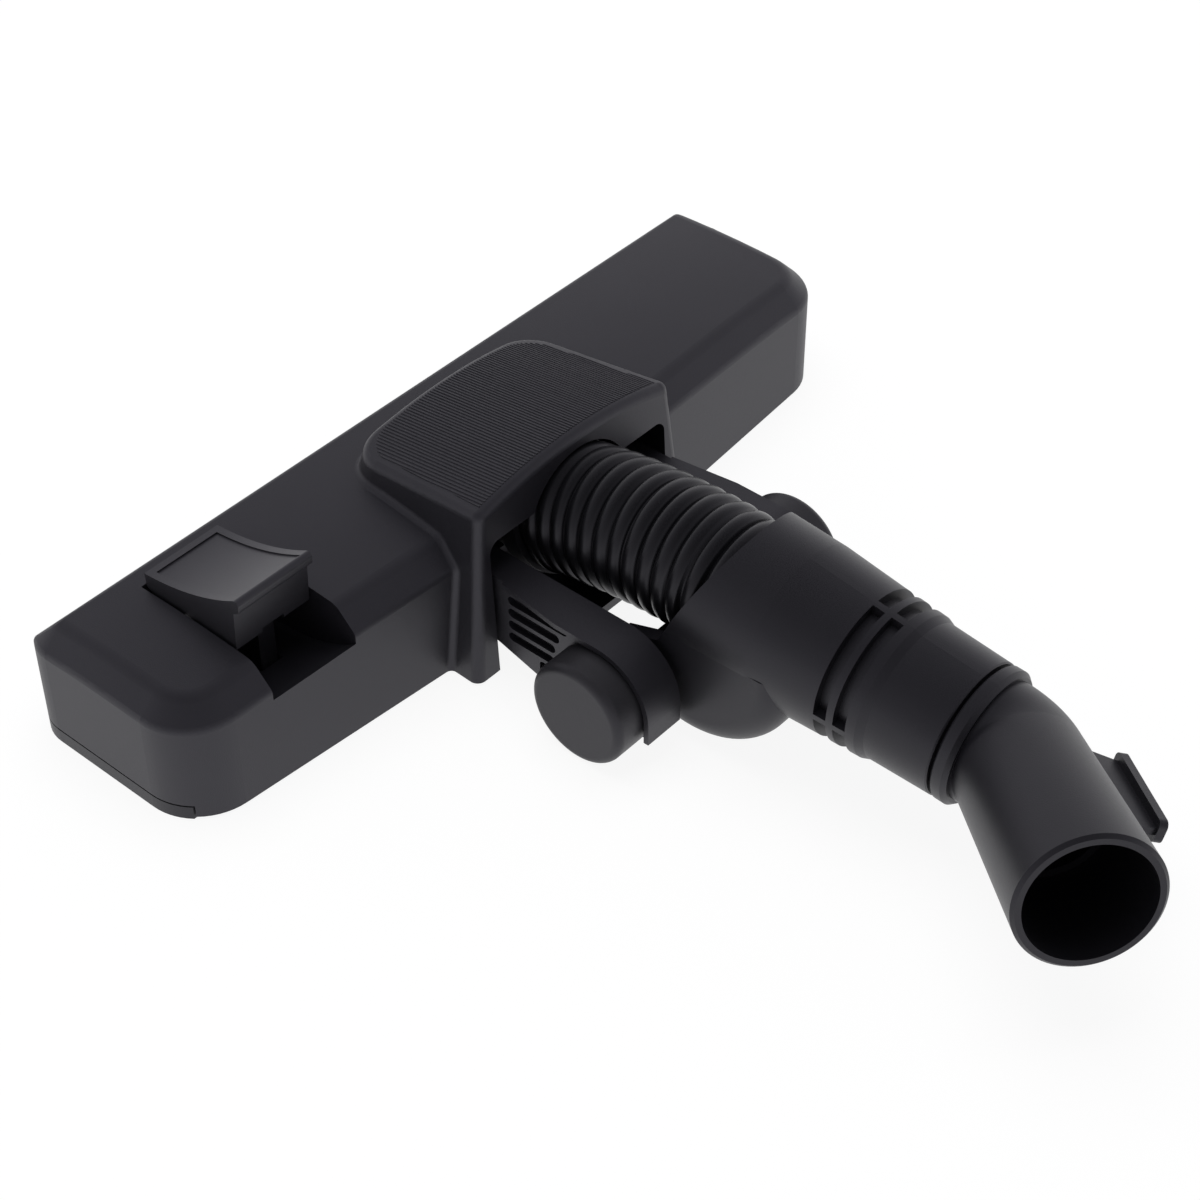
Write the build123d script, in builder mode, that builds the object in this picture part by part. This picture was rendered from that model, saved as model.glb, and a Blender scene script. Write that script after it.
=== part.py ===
# Vacuum floor brush head: floor head with foot pedal, wheel fork, hose, neck and swivel elbow.
# Millimetres. X runs along the head, +Y is the front, Z is up, z = 0 is the floor side of the sole.
import os
from math import cos, radians, sin, sqrt, tan

from build123d import *

os.makedirs("parts", exist_ok=True)

# Wand socket, the size the rest is measured from
WAND_BORE_R = 17.5
WAND_DEPTH = 34.0
SOCKET_LIP_R = 20.2

# Floor head
HEAD_HALF = 141.0
HEAD_FRONT = 28.5
REAR_END_Y = -41.6
REAR_MID_Y = -49.8
REAR_MID_X = 36.0
REAR_CORNER_R = 19.0
FRONT_CORNER_R = 13.0
WALL = 2.5
RIM_Z = 0.8
CROWN_TOP = 46.6
CROWN_REAR = 43.2
CROWN_FRONT = 44.8
CROWN_ALONG_R = 1600.0
BAND_HIGH = 6.5
BAND_IN = 7.0
BEVEL_SUM = 55.5
BEVEL_SLOPE = 0.96
BAND_ROUND = 6.0
SHOULDER_ROUND = 3.0
FRONT_ROUND = 2.0

# Raised centre
HUMP_REAR = -60.0
HUMP_FRONT = 8.0
HUMP_HALF = 47.7
HUMP_LOFT = 72.0
HUMP_TOP_HALF = 40.1
HUMP_TOP_REAR = -56.4
HUMP_TOP_FRONT = -6.0
HUMP_CROWN = 64.5
HUMP_FALL = 6.5
HUMP_ARCH_R = 150.0
HUMP_CORNER_R = 12.0
HUMP_EDGE_R = 3.0
HUMP_ROUND = HUMP_EDGE_R - 0.1
SEAM_ROUND = 2.0
MOUTH_HALF = 38.2
MOUTH_TOP = 47.3
MOUTH_ARCH_R = 21.6
MOUTH_ARCH_Z = 37.4

# Sole plate
SOLE_T = 3.0
LIP_HIGH = 4.5
LIP_FRONT = 22.0
LIP_REAR = -36.0
THROAT_HALF = 22.0
THROAT_Y = (-17.0, -4.0)
BRUSH_FRONT_Y = 14.0
BRUSH_REAR_Y = -30.0
BRUSH_SLOT_W = 8.0
BRUSH_END = 20.0
BRUSH_HALF = HEAD_HALF - BRUSH_END
CHANNEL_END = 31.0
CHANNEL_DEEP = 1.4

# Pedal and its recess
PEDAL_END = 31.5
PEDAL_WIDE = 27.5
PEDAL_X = (PEDAL_END - HEAD_HALF, PEDAL_END - HEAD_HALF + PEDAL_WIDE)
PEDAL_GAP = 1.0
PEDAL_FRONT = (7.0, 47.5)
PEDAL_REAR = (-33.0, 60.5)
PEDAL_DISH = 2.6
PEDAL_PIVOT = (-10.0, 40.0)
PEDAL_ARM = 14.0
PEDAL_LIFT = 2.5
PEDAL_EDGE = 5.0
PEDAL_BORDER = 2.4
PEDAL_PANEL = 0.5
APRON_IN = 2.8
APRON_LOW = 40.6
APRON_T = 1.8
PEDAL_AXLE_R = 2.0
RECESS_LIP_Z = 32.5
RECESS_FLOOR_Z = 22.4
RECESS_MID_Y = -14.0
TUB_WALL = 2.0
POST_W = 6.0
POST_T = 4.0
POST_GAP = 1.0

# Fork and wheels
AXLE_Y = -100.0
AXLE_Z = 16.5
WHEEL_R = 16.5
WHEEL_X = (37.8, 50.6)
AXLE_R = 3.0
WHEEL_ROUND = 2.6
ARM_X = (27.0, 37.0)
ARM_WALL = 2.4
FLANGE_T = 1.7
FLANGE_X = (37.7, 40.8)
FLANGE_Y = (-61.5, -84.0)
GUARD_R = 18.8
ARM_TOP = AXLE_Z + GUARD_R
FORK_Y = -53.0
FORK_Z = 25.0
FORK_PIN_R = 3.0
PIN_SEAT = 3.8
AXLE_SEAT = 8.8
EAR_X = (21.6, 25.2)

# Hose
HOSE_CREST_R = 20.6
HOSE_VALLEY_R = 18.9
HOSE_BORE_R = 17.6
HOSE_START = (-46.0, 34.2)
HOSE_MID = (-92.0, 42.6)
HOSE_END = (-134.0, 40.6)
HOSE_RIDGES = 14
COLLAR_GAP = 0.3
FRONT_COLLAR_T = 2.4
FRONT_COLLAR_LONG = 6.0
REAR_COLLAR_R = 21.6
REAR_COLLAR_LONG = 5.0

# Neck and swivel
NECK_END = (-196.8, 36.2)
NECK_DROP = 4.0
NECK_FRONT_R = 25.2
NECK_SLOT_R = 23.1
SLOT_WIDE = 4.0
SLOT_BED_R = 20.0
COLLAR_R = 20.6
SLEEVE_R = 17.7
SLEEVE_BORE_R = 15.4
BELLY_R = 33.0
BELLY_Y = -118.0
BELLY_Z = 34.8
BELLY_HALF = 24.4
BELLY_ROUND = 8.0
BELLY_ROOM = 19.6
BEND_ANGLE = 42.0
SWIVEL_TURN = -69.0
CORNER_S = 13.0
CORNER_TO_MOUTH = 64.5
ELBOW_R = 18.3
BEND_R = 18.8
HOOK_AT = 11.0
HOOK_LONG = 34.0
HOOK_WIDE = 7.0
HOOK_T = 2.5
HOOK_OFF = 32.0
HOOK_WEB = 2.2

# Shapes that stand on one end
ON_END = (Align.CENTER, Align.CENTER, Align.MIN)

# Crown of the wings: an arc across the head, carried round a long arc along it
CROWN_ANGLE = 6.0
CROWN_AXIS = Axis((0, 0, CROWN_TOP - CROWN_ALONG_R), (0, 1, 0))


def plan_points():
    return [
        (-HEAD_HALF, REAR_END_Y),
        (-REAR_MID_X, REAR_MID_Y),
        (REAR_MID_X, REAR_MID_Y),
        (HEAD_HALF, REAR_END_Y),
        (HEAD_HALF, HEAD_FRONT),
        (-HEAD_HALF, HEAD_FRONT),
    ]


def head_plan(inset):
    # outline of the floor head from above, moved in by a wall thickness
    with BuildSketch() as plan:
        with BuildLine():
            Polyline(*plan_points(), close=True)
        make_face()
        outer = plan.vertices().filter_by_position(Axis.X, HEAD_HALF - 1, HEAD_HALF + 1)
        outer += plan.vertices().filter_by_position(Axis.X, -HEAD_HALF - 1, 1 - HEAD_HALF)
        fillet([v for v in outer if v.Y < 0], REAR_CORNER_R)
        ends = plan.vertices().filter_by_position(Axis.Y, HEAD_FRONT - 0.1, HEAD_FRONT + 0.1)
        fillet(ends, FRONT_CORNER_R)
        if inset:
            offset(amount=-inset, mode=Mode.REPLACE)
    return plan.sketch


def crown_half(inset, turn):
    # body under the crown, one half of the arc along the head
    with BuildPart() as crown:
        with BuildSketch(Plane.YZ):
            with BuildLine():
                top = ThreePointArc(
                    (REAR_MID_Y - 20, CROWN_REAR - inset - 1.2),
                    (-4, CROWN_TOP - inset),
                    (HEAD_FRONT + 12, CROWN_FRONT - inset - 1.0),
                )
                Polyline(top @ 1, (HEAD_FRONT + 12, -20), (REAR_MID_Y - 20, -20), top @ 0)
            make_face()
        revolve(axis=CROWN_AXIS, revolution_arc=turn)
    return crown.part


def wing_form(inset, rounded):
    # both wings: outline, crown, bevelled band and sloping front
    with BuildPart() as form:
        add(crown_half(inset, CROWN_ANGLE))
        add(crown_half(inset, -CROWN_ANGLE))
        with BuildSketch(Plane.XY.offset(-5)):
            add(head_plan(inset))
        extrude(amount=80, mode=Mode.INTERSECT)
        rim = form.faces().sort_by(Axis.Z)[-1].outer_wire().edges()
        chamfer(rim, length=BAND_IN, length2=BAND_HIGH, reference=form.faces().sort_by(Axis.Z)[-1])
        if rounded:
            fillet(form.faces().sort_by(Axis.Z)[-1].outer_wire().edges(), BAND_ROUND)
            # shoulder: the lower edge of the band at both ends, the rear and the front
            band_low = CROWN_TOP - BAND_HIGH
            shoulder = form.edges().filter_by(lambda e: band_low - 11 < e.center().Z < band_low - 1.2)
            shoulder = shoulder.filter_by(lambda e: e.length > 12)
            shoulder = shoulder.filter_by(
                lambda e: abs(e.center().X) > HEAD_HALF - 9
                or e.center().Y < REAR_END_Y - 1.4
                or e.center().Y > HEAD_FRONT - 2.5
            )
            fillet(shoulder, SHOULDER_ROUND)
        with BuildSketch(Plane.YZ.offset(-HEAD_HALF - 20)):
            with BuildLine():
                Polyline(
                    (BEVEL_SUM - inset * 1.4, 0),
                    (BEVEL_SUM - inset * 1.4 - BEVEL_SLOPE * 80, 80),
                    (BEVEL_SUM + 80, 80),
                    (BEVEL_SUM + 80, 0),
                    close=True,
                )
            make_face()
        extrude(amount=2 * HEAD_HALF + 40, mode=Mode.SUBTRACT)
        if rounded:
            along = form.edges().filter_by(lambda e: abs(e.center().X) < 1 and e.length > HEAD_HALF)
            fillet(along.filter_by(lambda e: e.center().Y > 5 and e.center().Z > 20), FRONT_ROUND)
    return form.part


def hump_section(half, front_half, rear, front, radius):
    with BuildSketch() as section:
        with BuildLine():
            Polyline((-half, rear), (half, rear), (front_half, front), (-front_half, front), close=True)
        make_face()
        fillet(section.vertices().group_by(Axis.Y)[-1], radius)
        fillet(section.vertices().group_by(Axis.Y)[0], HUMP_EDGE_R)
    return section.sketch


# Top of the raised centre: a barrel arch that falls towards the front
ARCH_DIR = Vector(0, HUMP_TOP_FRONT - HUMP_TOP_REAR, -HUMP_FALL).normalized()


def hump_form(inset, rounded):
    # raised centre: sloping sides under the arched top
    with BuildPart() as form:
        with BuildSketch(Plane.XY):
            add(hump_section(HUMP_HALF - inset, HUMP_HALF - 2 - inset,
                             HUMP_REAR + inset, HUMP_FRONT - inset, HUMP_CORNER_R - inset))
        with BuildSketch(Plane.XY.offset(HUMP_LOFT)):
            add(hump_section(HUMP_TOP_HALF - inset, HUMP_TOP_HALF - 4 - inset,
                             HUMP_TOP_REAR + inset, HUMP_TOP_FRONT - inset, HUMP_CORNER_R - inset))
        loft()
        with BuildSketch(Plane((0, HUMP_TOP_REAR, HUMP_CROWN - inset), (1, 0, 0), ARCH_DIR)):
            with Locations((0, HUMP_ARCH_R)):
                Circle(HUMP_ARCH_R)
        extrude(amount=120, both=True, mode=Mode.INTERSECT)
        if rounded:
            fillet(form.edges().filter_by(lambda e: e.bounding_box().min.Z > CROWN_TOP - 1), HUMP_ROUND)
    return form.part


def recess_cut(side, grow, floor_grow):
    # foot pedal recess: straight sides and a floor hollowed round a cylinder
    rise = (REAR_END_Y - 4 - RECESS_MID_Y) ** 2 / (2 * (RECESS_LIP_Z - RECESS_FLOOR_Z))
    radius = rise + (RECESS_LIP_Z - RECESS_FLOOR_Z) / 2
    with BuildPart() as cut:
        with BuildSketch(Plane.YZ.offset(PEDAL_X[0] - PEDAL_GAP - side)):
            with Locations((RECESS_MID_Y, RECESS_FLOOR_Z + radius)):
                Circle(radius + floor_grow)
            with Locations(((HUMP_REAR - 10 + PEDAL_FRONT[0] + PEDAL_GAP + grow) / 2, 50)):
                Rectangle(PEDAL_FRONT[0] + PEDAL_GAP + grow - HUMP_REAR + 10, 100, mode=Mode.INTERSECT)
        extrude(amount=PEDAL_X[1] - PEDAL_X[0] + 2 * (PEDAL_GAP + side))
    return cut.part


wing_outer = wing_form(0, True)
wing_inner = wing_form(WALL, False)
hump_outer = hump_form(0, True)
hump_inner = hump_form(WALL, False)
recess_room = recess_cut(0, 0, 0)
recess_tub = recess_cut(TUB_WALL, TUB_WALL, TUB_WALL)

# Sole screws: two near the ends of the head and two in the middle
SCREW_END = HEAD_HALF - 10.0
SCREW_MID = 46.0
SCREW_SPOTS = [(-SCREW_END, 2, 0), (-SCREW_MID, 4, 0), (SCREW_MID, 4, 0), (SCREW_END, 2, 0)]
STRIP_IN = SCREW_MID + 6.0
STRIP_OUT = HEAD_HALF - 33.0
STRIP_LONG = STRIP_OUT - STRIP_IN
STRIP_X = (STRIP_IN + STRIP_OUT) / 2
STRIP_Y = 3.0
BOSS_R = 4.2
SCREW_R = 1.5
SCREW_LONG = 13.0
SCREW_HEAD_R = 3.1
SCREW_HEAD_T = 1.25


def roof_height(x):
    # underside of the roof over a place along the head
    return CROWN_TOP - WALL - x * x / (2 * CROWN_ALONG_R)


# Pillars beside the rear mouth, inside the outer form of the raised centre
PILLAR_DEEP = 14.0
with BuildPart() as pillars:
    with BuildSketch(Plane.XY):
        for side in (-1, 1):
            with Locations((side * (MOUTH_HALF + HUMP_HALF) / 2, HUMP_REAR + PILLAR_DEEP / 2)):
                Rectangle(HUMP_HALF - MOUTH_HALF, PILLAR_DEEP)
    extrude(amount=MOUTH_TOP)
    add(hump_outer, mode=Mode.INTERSECT)

with BuildPart() as upper_housing:
    add(wing_outer)
    add(hump_outer)
    seam = upper_housing.edges().filter_by(lambda e: CROWN_TOP - 2.6 < e.center().Z < CROWN_TOP + 0.4)
    seam = seam.filter_by(lambda e: abs(e.center().X) < HUMP_HALF - 1.7 and 3 < e.length < 100)
    seam = seam.filter_by(lambda e: REAR_END_Y - 2.4 < e.center().Y < HUMP_FRONT - 6)
    fillet(seam, SEAM_ROUND)
    add(wing_inner, mode=Mode.SUBTRACT)
    add(hump_inner, mode=Mode.SUBTRACT)
    # tub of the pedal recess, trimmed to the outer form
    tub = recess_tub & wing_outer
    add(tub)
    add(recess_room, mode=Mode.SUBTRACT)
    # hole in the tub floor for the post of the brush frame
    with Locations((sum(PEDAL_X) / 2, PEDAL_PIVOT[0] - PEDAL_ARM, 24)):
        Box(POST_W + 2 * POST_GAP, POST_T + 2 * POST_GAP, 16, mode=Mode.SUBTRACT)
    # screw bosses
    for spot in SCREW_SPOTS:
        with Locations((spot[0], spot[1], SOLE_T)):
            Cylinder(BOSS_R, roof_height(spot[0]) + 1.0 - SOLE_T, align=ON_END)
            Cylinder(SCREW_R, SCREW_LONG + 1, align=ON_END, mode=Mode.SUBTRACT)
    # pillars that carry the fork pins
    add(pillars.part)
    for side in (-1, 1):
        with Locations(Location((side * (MOUTH_HALF - 1), FORK_Y, FORK_Z), (0, side * 90, 0))):
            Cylinder(FORK_PIN_R, PIN_SEAT + 1.1, align=ON_END, mode=Mode.SUBTRACT)
    # rear mouth for the fork and the hose
    with BuildSketch(Plane.XZ.offset(-HUMP_REAR - PILLAR_DEEP + 2)) as mouth:
        with Locations((0, MOUTH_TOP / 2 - 5)):
            RectangleRounded(2 * MOUTH_HALF, MOUTH_TOP + 10, 4)
        with Locations((0, MOUTH_ARCH_Z)):
            Circle(MOUTH_ARCH_R)
    extrude(amount=40, mode=Mode.SUBTRACT)
    # pedal axle holes in the tub walls
    with Locations(Location(((PEDAL_X[0] + PEDAL_X[1]) / 2, *PEDAL_PIVOT), (0, 90, 0))):
        Cylinder(PEDAL_AXLE_R, PEDAL_X[1] - PEDAL_X[0] + 2 * (PEDAL_GAP + TUB_WALL), mode=Mode.SUBTRACT)
    # rim a little above the floor, notches for the end lips of the sole
    with Locations((0, 0, RIM_Z - 40)):
        Box(3 * HEAD_HALF, 3 * HEAD_HALF, 80, mode=Mode.SUBTRACT)
    for side in (-1, 1):
        with Locations((side * (HEAD_HALF - 8), (LIP_FRONT + LIP_REAR) / 2, 0)):
            Box(24, LIP_FRONT - LIP_REAR + 1.0, 2 * (LIP_HIGH + 0.5), mode=Mode.SUBTRACT)
upper_housing.part.label = "upper_housing"
export_step(upper_housing.part, "parts/upper_housing.step")

with BuildPart() as sole_plate:
    with BuildSketch(Plane.XY):
        add(head_plan(WALL + 0.15))
    extrude(amount=SOLE_T)
    with BuildSketch(Plane.XY) as lips:
        add(head_plan(0))
        with Locations((0, (LIP_FRONT + LIP_REAR) / 2)):
            Rectangle(3 * HEAD_HALF, LIP_FRONT - LIP_REAR, mode=Mode.INTERSECT)
            Rectangle(2 * (HEAD_HALF - 8), 200, mode=Mode.SUBTRACT)
    extrude(amount=LIP_HIGH)
    # brush slots, throat and the shallow suction channel
    with Locations((0, BRUSH_FRONT_Y, 0), (0, BRUSH_REAR_Y, 0)):
        Box(2 * BRUSH_HALF + 3, BRUSH_SLOT_W, 20, mode=Mode.SUBTRACT)
    with Locations((0, sum(THROAT_Y) / 2, 0)):
        Box(2 * THROAT_HALF, THROAT_Y[1] - THROAT_Y[0], 20, mode=Mode.SUBTRACT)
        Box(2 * (HEAD_HALF - CHANNEL_END), THROAT_Y[1] - THROAT_Y[0], 2 * CHANNEL_DEEP, mode=Mode.SUBTRACT)
    # seats of the lint strips
    for side in (-1, 1):
        with Locations((side * STRIP_X, STRIP_Y, 0)):
            Box(STRIP_LONG, 4, 1.6, mode=Mode.SUBTRACT)
    # screw seats
    for spot in SCREW_SPOTS:
        with Locations((spot[0], spot[1], 0)):
            Cylinder(SCREW_R + 0.2, 20, mode=Mode.SUBTRACT)
            Cylinder(SCREW_HEAD_R + 0.1, 3.2, mode=Mode.SUBTRACT)
    # gap round the fork, so the plate ends at the raised centre
    with Locations((0, HUMP_REAR, 0)):
        Box(2 * HUMP_HALF + 0.6, 2 * (PILLAR_DEEP + 0.3), 20, mode=Mode.SUBTRACT)
sole_plate.part.label = "sole_plate"
export_step(sole_plate.part, "parts/sole_plate.step")

for index, spot in enumerate(SCREW_SPOTS):
    with BuildPart() as screw:
        with Locations((spot[0], spot[1], 0.3)):
            Cylinder(SCREW_HEAD_R, SCREW_HEAD_T, align=ON_END)
            Cylinder(SCREW_R, SCREW_LONG, align=ON_END)
        with Locations((spot[0], spot[1], 0.3)):
            Box(3.6, 0.7, 1.2, mode=Mode.SUBTRACT)
            Box(0.7, 3.6, 1.2, mode=Mode.SUBTRACT)
    screw.part.label = "sole_screw_%d" % (index + 1)
    export_step(screw.part, "parts/sole_screw_%d.step" % (index + 1))

for name, side in (("lint_strip_left", -1), ("lint_strip_right", 1)):
    with BuildPart() as strip:
        with Locations((side * STRIP_X, STRIP_Y, 0.1)):
            Box(STRIP_LONG - 0.4, 3.6, 0.7, align=ON_END)
    strip.part.label = name
    export_step(strip.part, "parts/%s.step" % name)

# Path of the hose in the middle plane of the head
with BuildLine(Plane.YZ) as hose_line:
    hose_arc = ThreePointArc(HOSE_START, HOSE_MID, HOSE_END)
hose_in = hose_line.line % 0
hose_from = hose_line.line @ 0

# Suction duct: chimney over the throat, then a spigot that points along the hose
SPIGOT_R = HOSE_BORE_R - 0.2
SPIGOT_BORE_R = SPIGOT_R - 2.2
CHIMNEY_TOP = 50.0
CHIMNEY_ROUND = 14.0
TUBE_Z = 33.0
with BuildPart() as suction_duct:
    with BuildSketch(Plane.YZ.offset(-THROAT_HALF - WALL)) as chimney:
        with Locations(((THROAT_Y[0] + THROAT_Y[1]) / 2, (SOLE_T + CHIMNEY_TOP) / 2)):
            Rectangle(THROAT_Y[1] - THROAT_Y[0] + 2 * WALL, CHIMNEY_TOP - SOLE_T)
        fillet(chimney.vertices().group_by(Axis.Y)[-1].sort_by(Axis.X)[-1], CHIMNEY_ROUND)
    extrude(amount=2 * (THROAT_HALF + WALL))
    with BuildSketch(Plane(hose_from + hose_in * 6, (1, 0, 0), hose_in * -1)):
        Circle(SPIGOT_R)
    extrude(amount=14)
    with BuildSketch(Plane.XZ.offset(-THROAT_Y[0] + 1)):
        with Locations((0, TUBE_Z)):
            Circle(SPIGOT_R)
    extrude(amount=THROAT_Y[0] - 1 - HOSE_START[0] - 3)
    with BuildSketch(Plane.YZ.offset(-THROAT_HALF)) as room:
        with Locations(((THROAT_Y[0] + THROAT_Y[1]) / 2, CHIMNEY_TOP / 2 - WALL)):
            Rectangle(THROAT_Y[1] - THROAT_Y[0], CHIMNEY_TOP)
        fillet(room.vertices().group_by(Axis.Y)[-1].sort_by(Axis.X)[-1], CHIMNEY_ROUND - WALL)
    extrude(amount=2 * THROAT_HALF, mode=Mode.SUBTRACT)
    with BuildSketch(Plane(hose_from + hose_in * 7, (1, 0, 0), hose_in * -1)):
        Circle(SPIGOT_BORE_R)
    extrude(amount=14, mode=Mode.SUBTRACT)
    with BuildSketch(Plane.XZ.offset(-THROAT_Y[0] - 2)):
        with Locations((0, TUBE_Z)):
            Circle(SPIGOT_BORE_R)
    extrude(amount=THROAT_Y[0] + 2 - HOSE_START[0] - 3, mode=Mode.SUBTRACT)
suction_duct.part.label = "suction_duct"
export_step(suction_duct.part, "parts/suction_duct.step")

# Corrugated hose: rings of crests and valleys along the arc, with a plain cuff at either end
CUFF = 0.08
rings = [(0.0, HOSE_VALLEY_R), (CUFF, HOSE_VALLEY_R)]
for k in range(HOSE_RIDGES):
    ridge = ((0.25, HOSE_VALLEY_R), (0.42, HOSE_CREST_R), (0.83, HOSE_CREST_R), (1.0, HOSE_VALLEY_R))
    for part_of, ring_r in ridge:
        rings.append((CUFF + (1 - 2 * CUFF) * (k + part_of) / HOSE_RIDGES, ring_r))
rings.append((1.0, HOSE_VALLEY_R))
with BuildPart() as hose:
    for at, ring_r in rings:
        with BuildSketch(Plane(hose_line.line @ at, (1, 0, 0), hose_line.line % at)):
            Circle(ring_r)
    loft(ruled=True)
    with BuildSketch(Plane(hose_line.line @ 0, (1, 0, 0), hose_line.line % 0)):
        Circle(HOSE_BORE_R)
    sweep(path=hose_line.line, mode=Mode.SUBTRACT)
hose.part.label = "hose"
export_step(hose.part, "parts/hose.step")

with BuildPart() as hose_front_collar:
    with BuildSketch(Plane(hose_line.line @ 0, (1, 0, 0), hose_line.line % 0)):
        Circle(HOSE_VALLEY_R + FRONT_COLLAR_T)
        Circle(HOSE_VALLEY_R + COLLAR_GAP, mode=Mode.SUBTRACT)
    extrude(amount=FRONT_COLLAR_LONG)
hose_front_collar.part.label = "hose_front_collar"
export_step(hose_front_collar.part, "parts/hose_front_collar.step")

with BuildPart() as pedal_axle:
    with Locations(Location(((PEDAL_X[0] + PEDAL_X[1]) / 2, *PEDAL_PIVOT), (0, 90, 0))):
        Cylinder(PEDAL_AXLE_R - 0.02, PEDAL_X[1] - PEDAL_X[0] + 2 * (PEDAL_GAP + TUB_WALL))
pedal_axle.part.label = "pedal_axle"
export_step(pedal_axle.part, "parts/pedal_axle.step")

# Brush frame, its post reaches up into the pedal recess
FRAME_Z = 11.0
POST_X = sum(PEDAL_X) / 2
POST_Y = PEDAL_PIVOT[0] - PEDAL_ARM
POST_PIN_Z = PEDAL_PIVOT[1] + PEDAL_LIFT
POST_PIN_R = 1.5
PIN_LONG = 16.0
BAR_W = BRUSH_SLOT_W - 1
with BuildPart() as brush_frame:
    with Locations((0, BRUSH_FRONT_Y, FRAME_Z), (0, BRUSH_REAR_Y, FRAME_Z)):
        Box(2 * BRUSH_HALF, BAR_W, SOLE_T, align=ON_END)
    tie = BRUSH_FRONT_Y - BRUSH_REAR_Y
    for x in (-BRUSH_HALF + 3, -68, 68, BRUSH_HALF - 3):
        with Locations((x, (BRUSH_FRONT_Y + BRUSH_REAR_Y) / 2, FRAME_Z)):
            Box(6, tie, SOLE_T, align=ON_END)
    with Locations((POST_X, POST_Y, FRAME_Z)):
        Box(POST_W, POST_T, POST_PIN_Z + 2.2 - FRAME_Z, align=ON_END)
    with Locations((POST_X, (POST_Y + BRUSH_REAR_Y) / 2, FRAME_Z)):
        Box(POST_W, POST_Y - BRUSH_REAR_Y + POST_T, SOLE_T, align=ON_END)
    with Locations(Location((POST_X, POST_Y, POST_PIN_Z), (0, 90, 0))):
        Cylinder(POST_PIN_R, PIN_LONG)
brush_frame.part.label = "brush_frame"
export_step(brush_frame.part, "parts/brush_frame.step")

TUFT_TIP_Z = 1.5
for name, row_y in (("front_bristles", BRUSH_FRONT_Y), ("rear_bristles", BRUSH_REAR_Y + 1.2)):
    with BuildPart() as bristles:
        with Locations((0, row_y, FRAME_Z - 2)):
            Box(2 * BRUSH_HALF - 2, 3.6, 2, align=ON_END)
        with BuildSketch(Plane.XY.offset(TUFT_TIP_Z)):
            with Locations((0, row_y)):
                with GridLocations((2 * BRUSH_HALF - 8) / 46, 1, 47, 1):
                    Rectangle(2.6, 2.6)
        extrude(amount=FRAME_Z - 2 - TUFT_TIP_Z)
    bristles.part.label = name
    export_step(bristles.part, "parts/%s.step" % name)

with BuildPart() as rubber_lip:
    with Locations((0, BRUSH_REAR_Y - 2.4, TUFT_TIP_Z)):
        Box(2 * BRUSH_HALF - 2, 1.2, FRAME_Z - TUFT_TIP_Z, align=ON_END)
rubber_lip.part.label = "rubber_lip"
export_step(rubber_lip.part, "parts/rubber_lip.step")

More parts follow.
